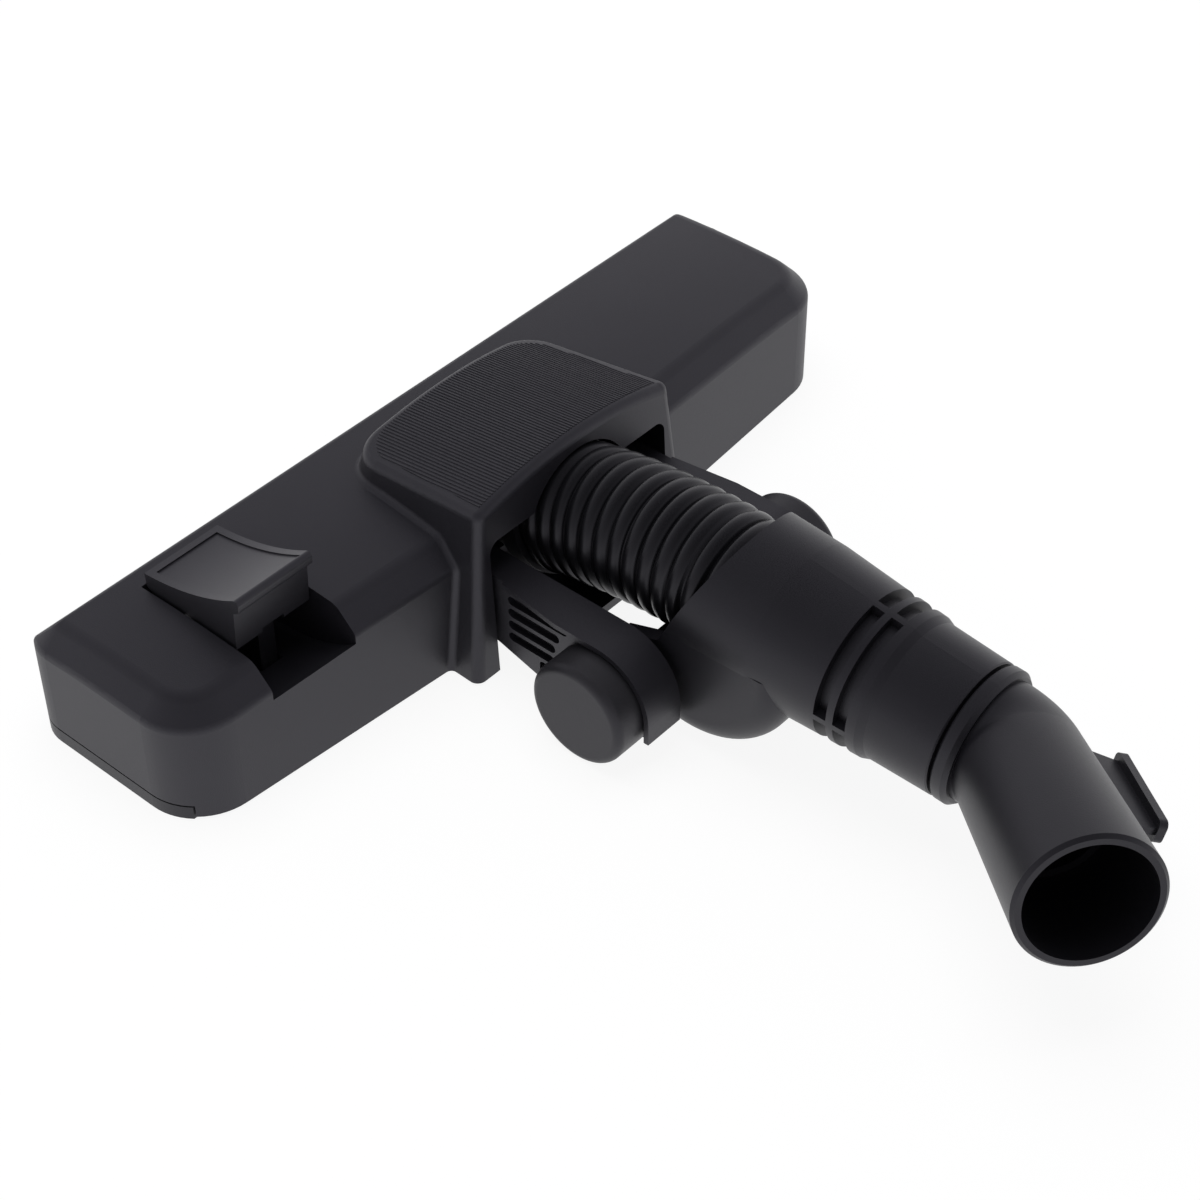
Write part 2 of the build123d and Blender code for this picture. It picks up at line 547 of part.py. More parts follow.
# Foot pedal: dished wedge with a thick rear edge and an apron, hollowed for the brush post
DISH_MID = ((PEDAL_FRONT[0] + PEDAL_REAR[0]) / 2, (PEDAL_FRONT[1] + PEDAL_REAR[1]) / 2 - PEDAL_DISH)
with BuildPart() as pedal:
    with BuildSketch(Plane.YZ.offset(PEDAL_X[0])) as wedge:
        with BuildLine():
            dish = ThreePointArc(PEDAL_FRONT, DISH_MID, PEDAL_REAR)
            apron_y = PEDAL_REAR[0] + APRON_IN
            Polyline(
                dish @ 1,
                (PEDAL_REAR[0] + 0.6, PEDAL_REAR[1] - PEDAL_EDGE),
                (apron_y, PEDAL_REAR[1] - PEDAL_EDGE - 1.4),
                (apron_y + 0.6, APRON_LOW),
                (PEDAL_PIVOT[0] - 4, PEDAL_PIVOT[1] - 4.6),
                (PEDAL_PIVOT[0] + 4, PEDAL_PIVOT[1] - 4.6),
                (PEDAL_FRONT[0] - 0.4, PEDAL_FRONT[1] - 4.5),
                dish @ 0,
            )
        make_face()
    extrude(amount=PEDAL_X[1] - PEDAL_X[0])
    fillet(pedal.edges().filter_by(Axis.X).sort_by(Axis.Y)[0:2], 1.4)
    # panel let in behind a narrow border
    with BuildSketch(Plane.YZ.offset(PEDAL_X[0] + PEDAL_BORDER)):
        with BuildLine():
            low = ThreePointArc(
                (PEDAL_FRONT[0], PEDAL_FRONT[1] - PEDAL_PANEL),
                (DISH_MID[0], DISH_MID[1] - PEDAL_PANEL),
                (PEDAL_REAR[0], PEDAL_REAR[1] - PEDAL_PANEL),
            )
            Polyline(
                low @ 1,
                (PEDAL_REAR[0], PEDAL_REAR[1] + 6),
                (PEDAL_FRONT[0], PEDAL_REAR[1] + 6),
                low @ 0,
            )
        make_face()
        with Locations((DISH_MID[0], DISH_MID[1])):
            Rectangle(PEDAL_FRONT[0] - PEDAL_REAR[0] - 2 * PEDAL_BORDER, 60, mode=Mode.INTERSECT)
    extrude(amount=PEDAL_X[1] - PEDAL_X[0] - 2 * PEDAL_BORDER, mode=Mode.SUBTRACT)
    # room for the brush post behind the apron, open below it
    room_rear = apron_y + APRON_T
    with BuildSketch(Plane.YZ.offset(POST_X - POST_W / 2 - POST_GAP)):
        with BuildLine():
            Polyline(
                (POST_Y + POST_T / 2 + 3, 0),
                (POST_Y + POST_T / 2 + 3, POST_PIN_Z + 6),
                (room_rear, POST_PIN_Z + 6),
                (room_rear, APRON_LOW + 1.4),
                (PEDAL_REAR[0], APRON_LOW + 1.4),
                (PEDAL_REAR[0], 0),
                close=True,
            )
        make_face()
    extrude(amount=POST_W + 2 * POST_GAP, mode=Mode.SUBTRACT)
    with Locations(Location((POST_X, POST_Y, POST_PIN_Z), (0, 90, 0))):
        Cylinder(POST_PIN_R + 0.3, PIN_LONG + 2, mode=Mode.SUBTRACT)
    with Locations(Location((POST_X, *PEDAL_PIVOT), (0, 90, 0))):
        Cylinder(PEDAL_AXLE_R + 0.05, 2 * (PEDAL_X[1] - PEDAL_X[0]), mode=Mode.SUBTRACT)
pedal.part.label = "pedal"
export_step(pedal.part, "parts/pedal.step")

for name, side in (("fork_pin_left", -1), ("fork_pin_right", 1)):
    with BuildPart() as fork_pin:
        with Locations(Location((side * (ARM_X[1] - 8), FORK_Y, FORK_Z), (0, side * 90, 0))):
            Cylinder(FORK_PIN_R - 0.02, MOUTH_HALF + PIN_SEAT - ARM_X[1] + 8,
                     align=ON_END)
    fork_pin.part.label = name
    export_step(fork_pin.part, "parts/%s.step" % name)

# Wheel fork: two arms with grille slots and a fender over each wheel, joined by a web under the hose
ARM_LOW = 4.0
GUARD_LOW = 10.0
SLOT_HIGH = 3.2
SLOT_ROWS = (29.6, 25.0, 20.4, 15.8)
SLOT_FROM = -63.0
WEB_Y = (-71.5, -51.0)
WEB_Z = 7.0


def arm_side(thin):
    # side view of an arm, its top and its fender moved in by a thickness
    with BuildSketch() as outline:
        with BuildLine():
            Polyline(
                (FORK_Y + 9, FORK_Z),
                (FORK_Y + 9, ARM_TOP - thin),
                (AXLE_Y - GUARD_R + thin, ARM_TOP - thin),
                (AXLE_Y - GUARD_R + thin, GUARD_LOW),
                (AXLE_Y - 8, ARM_LOW),
                (AXLE_Y + 17, ARM_LOW),
                (FORK_Y + 2, 13),
                close=True,
            )
        make_face()
        fillet(outline.vertices().sort_by(Axis.X)[0:2].sort_by(Axis.Y)[-1], GUARD_R - thin - 0.1)
    return outline.sketch


# fender: strip along the top and round the rear of each arm, wider behind the raised centre
with BuildPart() as fenders:
    with BuildSketch(Plane.YZ.offset(-FLANGE_X[1])):
        add(arm_side(0))
        add(arm_side(FLANGE_T), mode=Mode.SUBTRACT)
        with Locations((FLANGE_Y[0] + 50, 20)):
            Rectangle(100, 100, mode=Mode.SUBTRACT)
        with Locations((AXLE_Y, GUARD_LOW - 50)):
            Rectangle(100, 100, mode=Mode.SUBTRACT)
    extrude(amount=2 * FLANGE_X[1])
    with BuildSketch(Plane.XY):
        with BuildLine():
            Polyline(
                (FLANGE_X[0], FLANGE_Y[0] + 1),
                (FLANGE_X[1], FLANGE_Y[1]),
                (FLANGE_X[1], AXLE_Y - 2 * GUARD_R),
                (ARM_X[0], AXLE_Y - 2 * GUARD_R),
                (ARM_X[0], FLANGE_Y[0] + 1),
                close=True,
            )
        make_face()
        mirror(about=Plane.YZ)
    extrude(amount=2 * ARM_TOP, mode=Mode.INTERSECT)

with BuildPart() as fork:
    for side in (-1, 1):
        inner = ARM_X[0] if side > 0 else -ARM_X[1]
        with BuildSketch(Plane.YZ.offset(inner)):
            add(arm_side(0))
        extrude(amount=ARM_X[1] - ARM_X[0])
        # hollow from below
        with Locations((side * (ARM_X[0] + ARM_X[1]) / 2, (AXLE_Y + 13 + FORK_Y - 12) / 2, 0)):
            Box(ARM_X[1] - ARM_X[0] - 2 * ARM_WALL, 22, 2 * (ARM_TOP - 3), mode=Mode.SUBTRACT)
        # grille slots stop on an arc round the wheel
        for slot_z in SLOT_ROWS:
            reach = AXLE_Y + sqrt((WHEEL_R + 3.0) ** 2 - (slot_z - AXLE_Z) ** 2)
            with BuildSketch(Plane.YZ.offset(side * ARM_X[1])):
                with Locations(((reach + SLOT_FROM) / 2, slot_z)):
                    SlotOverall(SLOT_FROM - reach, SLOT_HIGH)
            extrude(amount=ARM_WALL - 0.4, both=True, mode=Mode.SUBTRACT)
        with BuildSketch(Plane.YZ.offset(side * ARM_X[1])):
            with Locations((AXLE_Y + WHEEL_R + 6.4, AXLE_Z - 5.6)):
                RectangleRounded(4.6, 4.0, 1.2)
        extrude(amount=ARM_WALL - 0.4, both=True, mode=Mode.SUBTRACT)
        # pin and axle holes
        with Locations(Location((side * ARM_X[1], FORK_Y, FORK_Z), (0, 90, 0))):
            Cylinder(FORK_PIN_R + 0.05, 17, mode=Mode.SUBTRACT)
        with Locations(Location((side * ARM_X[1], AXLE_Y, AXLE_Z), (0, 90, 0))):
            Cylinder(AXLE_R, 2 * ARM_X[1], mode=Mode.SUBTRACT)
    add(fenders.part)
    with Locations((0, sum(WEB_Y) / 2, WEB_Z)):
        Box(2 * ARM_X[0] + 2, WEB_Y[1] - WEB_Y[0], SOLE_T, align=ON_END)
fork.part.label = "fork"
export_step(fork.part, "parts/fork.step")

for name, side in (("left", -1), ("right", 1)):
    with BuildPart() as wheel:
        with Locations(Location((side * WHEEL_X[0], AXLE_Y, AXLE_Z), (0, side * 90, 0))):
            Cylinder(WHEEL_R, WHEEL_X[1] - WHEEL_X[0], align=ON_END)
        far = Axis.X if side > 0 else -Axis.X
        fillet(wheel.edges().sort_by(far)[-1], WHEEL_ROUND)
        fillet(wheel.edges().sort_by(far)[0], 0.8)
        with Locations(Location((side * (WHEEL_X[0] - 1), AXLE_Y, AXLE_Z), (0, side * 90, 0))):
            Cylinder(AXLE_R + 0.05, AXLE_SEAT + 1.2, align=ON_END, mode=Mode.SUBTRACT)
    wheel.part.label = "wheel_" + name
    export_step(wheel.part, "parts/wheel_%s.step" % name)
    with BuildPart() as axle:
        with Locations(Location((side * (EAR_X[0] - 0.2), AXLE_Y, AXLE_Z), (0, side * 90, 0))):
            Cylinder(AXLE_R - 0.02, WHEEL_X[0] + AXLE_SEAT - EAR_X[0] + 0.2, align=ON_END)
    axle.part.label = "axle_" + name
    export_step(axle.part, "parts/axle_%s.step" % name)

# Neck axis, falling to the rear, and planes along it
drop = radians(NECK_DROP)
G = Vector(0, *NECK_END)
T = Vector(0, -cos(drop), -sin(drop))
UP = Vector(0, -sin(drop), cos(drop))
NECK_SECTION = Plane(G, T, (-1, 0, 0))
NECK_AXIS = Axis(G, T)

# bars left standing between the slots of the neck
with BuildPart() as slot_bars:
    with BuildSketch(Plane(G, (1, 0, 0), T)):
        for bar_at in (0, 99, 180, 261):
            with PolarLocations(24, 1, start_angle=90 + bar_at):
                Rectangle(16, 2.2)
    extrude(amount=-60)

# belly below the barrel, rounded along both cheeks
with BuildPart() as belly:
    with Locations(Location((0, BELLY_Y, BELLY_Z), (0, 90, 0))):
        Cylinder(BELLY_R, 2 * BELLY_HALF)
    fillet(belly.edges().filter_by(GeomType.CIRCLE), BELLY_ROUND)
    with Locations((0, BELLY_Y, BELLY_Z + 3)):
        Box(4 * BELLY_HALF, 4 * BELLY_R, 2 * BELLY_R, align=ON_END, mode=Mode.SUBTRACT)

with BuildPart() as neck:
    # barrel and collar
    with BuildSketch(NECK_SECTION):
        with BuildLine():
            Polyline(
                (-96, 0),
                (-96, NECK_FRONT_R),
                (-58, NECK_FRONT_R - 0.6),
                (-38, NECK_SLOT_R + 0.1),
                (-22.5, NECK_SLOT_R - 0.8),
                (-20, COLLAR_R + 0.7),
                (-0.4, COLLAR_R),
                (0, COLLAR_R - 0.4),
                (0, 0),
                close=True,
            )
        make_face()
    revolve(axis=NECK_AXIS)
    add(belly.part)
    # rooms inside: hose end, sleeve bearing, belly
    with BuildSketch(NECK_SECTION):
        with BuildLine():
            Polyline((-97, 0), (-97, 22.5), (-62, 22.5), (-60, 20.6), (-42, 20.6), (-40, SLEEVE_R + 0.05),
                     (1, SLEEVE_R + 0.05), (1, 0), close=True)
        make_face()
    revolve(axis=NECK_AXIS, mode=Mode.SUBTRACT)
    with BuildSketch(Plane.YZ.offset(-BELLY_ROOM)):
        with Locations((BELLY_Y, BELLY_Z)):
            Circle(BELLY_R - WALL)
        with Locations((BELLY_Y - 66, BELLY_Z)):
            Rectangle(100, 200, mode=Mode.SUBTRACT)
        with Locations((BELLY_Y, BELLY_Z + 3 + 50)):
            Rectangle(200, 100, mode=Mode.SUBTRACT)
    extrude(amount=2 * BELLY_ROOM, mode=Mode.SUBTRACT)
    # slanting mouth
    with BuildSketch(Plane.YZ.offset(-60)):
        with BuildLine():
            Polyline((-129.5, 76), (-108, 32), (-94, 27), (-94, -10), (-40, -10), (-40, 76), close=True)
        make_face()
    extrude(amount=120, mode=Mode.SUBTRACT)
    # ears on the axles
    for side in (-1, 1):
        with BuildSketch(Plane.YZ.offset(EAR_X[0] if side > 0 else -EAR_X[1])):
            with Locations((AXLE_Y, AXLE_Z)):
                Circle(9.5)
        extrude(amount=EAR_X[1] - EAR_X[0])
    with Locations(Location((0, AXLE_Y, AXLE_Z), (0, 90, 0))):
        Cylinder(AXLE_R + 0.05, 80, mode=Mode.SUBTRACT)
    # two rows of slots between four bars
    for row in (-35.6, -29.4):
        with BuildSketch(NECK_SECTION):
            with Locations((row + SLOT_WIDE / 2, SLOT_BED_R + 4.5)):
                Rectangle(SLOT_WIDE, 9)
        ring = revolve(axis=NECK_AXIS, mode=Mode.PRIVATE)
        add(ring - slot_bars.part, mode=Mode.SUBTRACT)
neck.part.label = "neck"
export_step(neck.part, "parts/neck.step")

with BuildPart() as hose_rear_collar:
    with BuildSketch(Plane(hose_line.line @ 1, (1, 0, 0), hose_line.line % 1)):
        Circle(REAR_COLLAR_R)
        Circle(HOSE_VALLEY_R + COLLAR_GAP, mode=Mode.SUBTRACT)
    extrude(amount=-REAR_COLLAR_LONG)
hose_rear_collar.part.label = "hose_rear_collar"
export_step(hose_rear_collar.part, "parts/hose_rear_collar.step")

# Swivel elbow: the bend leaves sideways, turned about the neck axis
turn = radians(SWIVEL_TURN)
bend_angle = radians(BEND_ANGLE)
BEND = UP * cos(turn) + Vector(1, 0, 0) * sin(turn)
E = T * cos(bend_angle) + BEND * sin(bend_angle)
H = T * sin(bend_angle) - BEND * cos(bend_angle)
tangent = BEND_R * tan(bend_angle / 2)
S0 = CORNER_S - tangent
K = G + T * CORNER_S
E0 = K + E * tangent
RUN = CORNER_TO_MOUTH - tangent
M = K + E * CORNER_TO_MOUTH
BEND_AXIS = Axis(G + T * S0 + BEND * BEND_R, T.cross(BEND))
SOCKET_SECTION = Plane(E0, E, E.cross(H))
SOCKET_AXIS = Axis(E0, E)
with BuildPart() as elbow:
    with BuildSketch(NECK_SECTION):
        with BuildLine():
            Polyline((-38, 0), (-38, SLEEVE_R), (0.9, SLEEVE_R), (0.9, COLLAR_R - 0.6), (1.5, COLLAR_R),
                     (4.4, COLLAR_R), (S0, COLLAR_R - 1.2), (S0, 0), close=True)
        make_face()
    revolve(axis=NECK_AXIS)
    with BuildSketch(Plane(G + T * S0, (1, 0, 0), T)):
        Circle(ELBOW_R)
    revolve(axis=BEND_AXIS, revolution_arc=BEND_ANGLE)
    with BuildSketch(SOCKET_SECTION):
        with BuildLine():
            Polyline((0, 0), (0, ELBOW_R), (RUN - 1.0, SOCKET_LIP_R), (RUN, SOCKET_LIP_R - 1.0), (RUN, 0),
                     close=True)
        make_face()
    revolve(axis=SOCKET_AXIS)
    # parking hook: web and narrow cross plate on the outside of the bend
    hook_at = K + E * HOOK_AT
    with BuildSketch(Plane(hook_at, E, E.cross(H))):
        with BuildLine():
            Polyline(
                (-HOOK_LONG / 2 - 8, ELBOW_R - 9),
                (-HOOK_LONG / 2 + 2, HOOK_OFF + 0.5),
                (HOOK_LONG / 2 - 1, HOOK_OFF + 0.5),
                (HOOK_LONG / 2, ELBOW_R - 1),
                close=True,
            )
        make_face()
    extrude(amount=HOOK_WEB / 2, both=True)
    with BuildSketch(Plane(hook_at + H * HOOK_OFF, E, H)):
        RectangleRounded(HOOK_LONG, HOOK_WIDE, 2)
    extrude(amount=HOOK_T)
    # bore through sleeve, bend and socket
    with BuildSketch(Plane(G + T * -39, (1, 0, 0), T)):
        Circle(SLEEVE_BORE_R)
    extrude(amount=39 + S0, mode=Mode.SUBTRACT)
    with BuildSketch(Plane(G + T * S0, (1, 0, 0), T)):
        Circle(SLEEVE_BORE_R)
    revolve(axis=BEND_AXIS, revolution_arc=BEND_ANGLE, mode=Mode.SUBTRACT)
    with BuildSketch(Plane(E0, H, E)):
        Circle(SLEEVE_BORE_R)
    extrude(amount=RUN + 1, mode=Mode.SUBTRACT)
    with BuildSketch(Plane(M - E * WAND_DEPTH, H, E)):
        Circle(WAND_BORE_R)
    extrude(amount=WAND_DEPTH + 1, mode=Mode.SUBTRACT)
elbow.part.label = "elbow"
export_step(elbow.part, "parts/elbow.step")
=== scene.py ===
# %% [markdown]
# # A vacuum floor brush head
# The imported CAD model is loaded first, as a fixed frame. Every shape in it has its true size and
# place, so what is left for this lesson is the look: finishes, the flexible hose, the fine ribs on
# the raised centre, the bristles, the light and the camera.

# %% Load the frame
import math

import bmesh
import bpy
from mathutils import Euler, Matrix, Vector


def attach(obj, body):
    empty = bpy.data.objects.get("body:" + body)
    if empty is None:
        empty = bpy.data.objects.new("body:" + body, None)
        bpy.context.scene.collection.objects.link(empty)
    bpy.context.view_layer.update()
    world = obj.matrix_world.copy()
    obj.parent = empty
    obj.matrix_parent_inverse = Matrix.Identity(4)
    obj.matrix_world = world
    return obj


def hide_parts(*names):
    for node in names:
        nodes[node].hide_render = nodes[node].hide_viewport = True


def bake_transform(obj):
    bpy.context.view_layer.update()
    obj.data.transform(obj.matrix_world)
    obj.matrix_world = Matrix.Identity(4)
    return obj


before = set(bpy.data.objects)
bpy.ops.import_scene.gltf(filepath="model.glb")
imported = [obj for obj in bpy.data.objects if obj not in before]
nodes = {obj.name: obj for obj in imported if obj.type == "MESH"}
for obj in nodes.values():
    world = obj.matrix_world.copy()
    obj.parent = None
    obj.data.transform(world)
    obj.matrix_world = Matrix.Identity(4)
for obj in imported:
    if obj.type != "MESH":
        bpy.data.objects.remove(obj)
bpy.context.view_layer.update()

# %% [markdown]
# ## Camera
# The view is from behind and to the left, about half a metre above the floor. The lens and the stand
# come from fitting the outline of the head, the wheels and the socket. The angles, in radians, say how
# far the camera looks down, how far it turns to the right of +Y and how much it leans.

# %% Camera
CAMERA_AT = (-0.43120, -0.44414, 0.52068)
LOOK_DOWN, LOOK_RIGHT, LEAN = 0.7315, 0.8501, -0.0060
LENS_MM, SENSOR_MM = 77.44, 36.0

bpy.ops.object.select_all(action="DESELECT")
camera_data = bpy.data.cameras.new("studio_camera")
camera_data.sensor_width = SENSOR_MM
camera_data.lens = LENS_MM
camera = bpy.data.objects.new("studio_camera", camera_data)
bpy.context.scene.collection.objects.link(camera)
camera.location = CAMERA_AT
turn = Euler((math.pi / 2 - LOOK_DOWN, 0.0, -LOOK_RIGHT)).to_matrix() @ Matrix.Rotation(LEAN, 3, "Z")
camera.rotation_euler = turn.to_euler()
bpy.context.scene.camera = camera
print("camera at", tuple(round(v, 4) for v in camera.location))

# %% [markdown]
# ## Node trees in short
# The world, the floor and every finish are node trees. Three helpers keep them readable: one clears a
# tree, one adds a node with its values, and one draws a list of links.

# %% Helpers for node trees
def fresh_tree(owner):
    owner.use_nodes = True
    owner.node_tree.nodes.clear()
    return owner.node_tree


def add_node(tree, kind, values=None, operation=None):
    node = tree.nodes.new("ShaderNode" + kind)
    if operation:
        node.operation = operation
    for socket, value in (values or {}).items():
        node.inputs[socket].default_value = value
    return node


def wire(tree, *joins):
    for source, outlet, target, inlet in joins:
        tree.links.new(source.outputs[outlet], target.inputs[inlet])


# %% [markdown]
# ## Light and floor
# Black plastic shows its form by what it mirrors. In a white tent the walls of the object mirror the
# pale floor and the bright horizon, and what faces the camera mirrors the dimmer room above it. So the
# world brightens towards the horizon and the far side, the floor stays white in reflections, and the
# one lamp above only lifts the colour.

# %% World
ROOM_LEVEL = 0.81
ROOM_SLOPE = (0.11, 0.11, -0.636)
ROOM_COLOUR = (0.98, 0.97, 1.0, 1.0)
WHITE = (1.0, 1.0, 1.0, 1.0)

scene = bpy.context.scene
scene.view_settings.view_transform = "Standard"
world = bpy.data.worlds.new("pale_room")
scene.world = world
room = fresh_tree(world)
way = add_node(room, "TexCoord")
slope = add_node(room, "VectorMath", {1: ROOM_SLOPE}, "DOT_PRODUCT")
level = add_node(room, "Math", {1: ROOM_LEVEL}, "ADD")
lit = add_node(room, "Background", {"Color": ROOM_COLOUR})
seen = add_node(room, "Background", {"Color": WHITE, "Strength": 1.0})
ray = add_node(room, "LightPath")
either = add_node(room, "MixShader")
wire(room,
     (way, "Generated", slope, 0),
     (slope, "Value", level, 0),
     (level, "Value", lit, "Strength"),
     (ray, "Is Camera Ray", either, "Fac"),
     (lit, "Background", either, 1),
     (seen, "Background", either, 2),
     (either, "Shader", add_node(room, "OutputWorld"), "Surface"))

# %% Lamp and floor
PANEL_AT, PANEL_AIM = Vector((0.05, 0.1, 1.2)), Vector((0.0, -0.08, 0.03))
PANEL_SIDE, PANEL_WATTS = 1.0, 8.0
FLOOR_SIDE = 6.0
FLOOR_PAINT = (0.93, 0.93, 0.93, 1.0)
FLOOR_GLOW, GLOW_SHARE = 1.05, 0.86

panel = bpy.data.lights.new("top_panel", "AREA")
panel.size = PANEL_SIDE
panel.energy = PANEL_WATTS
top_panel = bpy.data.objects.new("top_panel", panel)
scene.collection.objects.link(top_panel)
top_panel.location = PANEL_AT
top_panel.rotation_euler = (PANEL_AIM - PANEL_AT).to_track_quat("-Z", "Y").to_euler()
top_panel.visible_glossy = False

bpy.ops.mesh.primitive_plane_add(size=FLOOR_SIDE, location=(0, 0, 0))
floor = bpy.context.object
floor.name = "pale_floor"
floor_mat = bpy.data.materials.new("pale_floor")
ground = fresh_tree(floor_mat)
paint = add_node(ground, "BsdfDiffuse", {"Color": FLOOR_PAINT})
glow = add_node(ground, "Emission", {"Color": WHITE, "Strength": FLOOR_GLOW})
ray = add_node(ground, "LightPath")
looked_at = add_node(ground, "Math", operation="MAXIMUM")
share = add_node(ground, "Math", {1: GLOW_SHARE}, "MULTIPLY")
either = add_node(ground, "MixShader")
wire(ground,
     (ray, "Is Camera Ray", looked_at, 0),
     (ray, "Is Glossy Ray", looked_at, 1),
     (looked_at, "Value", share, 0),
     (share, "Value", either, "Fac"),
     (paint, "BSDF", either, 1),
     (glow, "Emission", either, 2),
     (either, "Shader", add_node(ground, "OutputMaterial"), "Surface"))
floor.data.materials.append(floor_mat)

# %% [markdown]
# ## Moulded black plastic
# Every outer moulding is black plastic with a fine spark-eroded grain. Two noise textures make it:
# a coarse one shifts the colour a little, and a fine one is the grain that changes the gloss and lifts
# the light off the surface.

# %% Moulded plastic finish
COOL_SHEEN = (0.91, 0.89, 1.0, 1.0)
CLOUD_SCALE, CLOUD_DETAIL = 38.0, 5.0
GRAIN_SIZE, GRAIN_DEEP, GRAIN_DETAIL = 0.00035, 0.0004, 2.0
GLOSSIER, DULLER = 0.06, 0.08


def moulded(name, colour, rough, shine=0.5, grain=0.12, cloud=0.18, metal=0.0):
    mat = bpy.data.materials.new(name)
    tree = fresh_tree(mat)
    place = add_node(tree, "TexCoord")
    clouds = add_node(tree, "TexNoise", {"Scale": CLOUD_SCALE, "Detail": CLOUD_DETAIL})
    fine = add_node(tree, "TexNoise", {"Scale": 1.0 / GRAIN_SIZE, "Detail": GRAIN_DETAIL})
    tint = add_node(tree, "MapRange", {"To Min": 1.0 - cloud, "To Max": 1.0 + cloud})
    gloss = add_node(tree, "MapRange", {"To Min": rough - GLOSSIER, "To Max": rough + DULLER})
    bump = add_node(tree, "Bump", {"Strength": grain, "Distance": GRAIN_DEEP})
    shade = add_node(tree, "BsdfPrincipled", {"Metallic": metal, "Specular IOR Level": shine,
                                              "Specular Tint": COOL_SHEEN})
    colouring = add_node(tree, "Mix")
    colouring.data_type = "RGBA"
    colouring.blend_type = "MULTIPLY"
    colouring.inputs["Factor"].default_value = 1.0
    colouring.inputs["A"].default_value = (*colour, 1.0)
    wire(tree,
         (place, "Object", clouds, "Vector"),
         (place, "Object", fine, "Vector"),
         (clouds, "Fac", tint, "Value"),
         (tint, "Result", colouring, "B"),
         (colouring, "Result", shade, "Base Color"),
         (fine, "Fac", gloss, "Value"),
         (gloss, "Result", shade, "Roughness"),
         (fine, "Fac", bump, "Height"),
         (bump, "Normal", shade, "Normal"),
         (shade, "BSDF", add_node(tree, "OutputMaterial"), "Surface"))
    return mat


housing_black = moulded("housing_black", (0.0135, 0.0130, 0.0165), 0.46, shine=0.58)
sole_black = moulded("sole_black", (0.0100, 0.0098, 0.0120), 0.42)
pedal_black = moulded("pedal_black", (0.0170, 0.0165, 0.0200), 0.40, shine=0.60)
wheel_grey = moulded("wheel_grey", (0.0190, 0.0185, 0.0210), 0.44, shine=0.46)
fork_black = moulded("fork_black", (0.0125, 0.0120, 0.0150), 0.42, shine=0.60)
neck_black = moulded("neck_black", (0.0095, 0.0092, 0.0115), 0.40, shine=0.45)
hose_gloss = moulded("hose_gloss", (0.0045, 0.0045, 0.0055), 0.30, shine=0.38, grain=0.03, cloud=0.1)
rubber_black = moulded("rubber_black", (0.008, 0.008, 0.008), 0.7)
bristle_dark = moulded("bristle_dark", (0.012, 0.012, 0.012), 0.5, grain=0.05)
lint_red = moulded("lint_red", (0.12, 0.02, 0.02), 0.9, grain=0.6)
pin_steel = moulded("pin_steel", (0.5, 0.5, 0.5), 0.3, metal=1.0)
FINISHES = (
    (housing_black, ("upper_housing",)),
    (sole_black, ("sole_plate", "suction_duct", "hose_front_collar", "hose_rear_collar", "brush_frame")),
    (pedal_black, ("pedal",)),
    (wheel_grey, ("wheel_left", "wheel_right")),
    (fork_black, ("fork",)),
    (neck_black, ("neck", "elbow")),
    (hose_gloss, ("hose",)),
    (rubber_black, ("rubber_lip",)),
    (bristle_dark, ("front_bristles", "rear_bristles")),
    (lint_red, ("lint_strip_left", "lint_strip_right")),
    (pin_steel, ("pedal_axle", "fork_pin_left", "fork_pin_right", "axle_left", "axle_right",
                 "sole_screw_1", "sole_screw_2", "sole_screw_3", "sole_screw_4")),
)
for mat, names in FINISHES:
    for name in names:
        skin = nodes[name].data.materials
        skin.clear()
        skin.append(mat)
print("finishes:", len(FINISHES))

# %% [markdown]
# ## Selecting in edit mode
# The pieces below are modelled with edit-mode operators, which work on what is selected. One helper
# leaves just those points, edges or faces selected that a small test picks.

# %% Helper for selections
def select_only(obj, pick):
    bm = bmesh.from_edit_mesh(obj.data)
    bm.verts.ensure_lookup_table()
    chosen = pick(bm)
    bpy.ops.mesh.select_all(action="DESELECT")
    for element in chosen:
        element.select = True
    bm.select_flush_mode()
    bmesh.update_edit_mesh(obj.data)


# %% [markdown]
# ## The corrugated hose
# Between the head and the neck runs a short blown hose with fourteen round ridges and narrow valleys.
# Its middle line is the arc through three points of the CAD hose, so a circle spun round the centre of
# that arc gives the tube, and each ring is then drawn out to its share of the ridge. A curve with an
# array would also do, but here every ring stays exactly square to the arc.

# %% Spin the tube along its arc
HOSE_FRONT = Vector((-0.0460, 0.0342))
HOSE_MID = Vector((-0.0920, 0.0426))
HOSE_REAR = Vector((-0.1340, 0.0406))
VALLEY_R, CREST_R = 0.0189, 0.0205
RINGS = 196
HOSE_SIDES = 72


def circle_centre(a, b, c):
    to_b, to_c = b - a, c - a
    square_b, square_c = to_b.length_squared, to_c.length_squared
    twice_area = 2 * (to_b.x * to_c.y - to_b.y * to_c.x)
    off_y = to_c.y * square_b - to_b.y * square_c
    off_z = to_b.x * square_c - to_c.x * square_b
    return a + Vector((off_y, off_z)) / twice_area


arc_mid = circle_centre(HOSE_FRONT, HOSE_MID, HOSE_REAR)
hose_pivot = Vector((0.0, *arc_mid))
hose_bow = (HOSE_FRONT - arc_mid).length
angle_from, angle_to = (math.atan2(*(end - arc_mid).yx) for end in (HOSE_FRONT, HOSE_REAR))


def hose_point(share):
    at = angle_from + (angle_to - angle_from) * share
    return hose_pivot + hose_bow * Vector((0.0, math.cos(at), math.sin(at)))


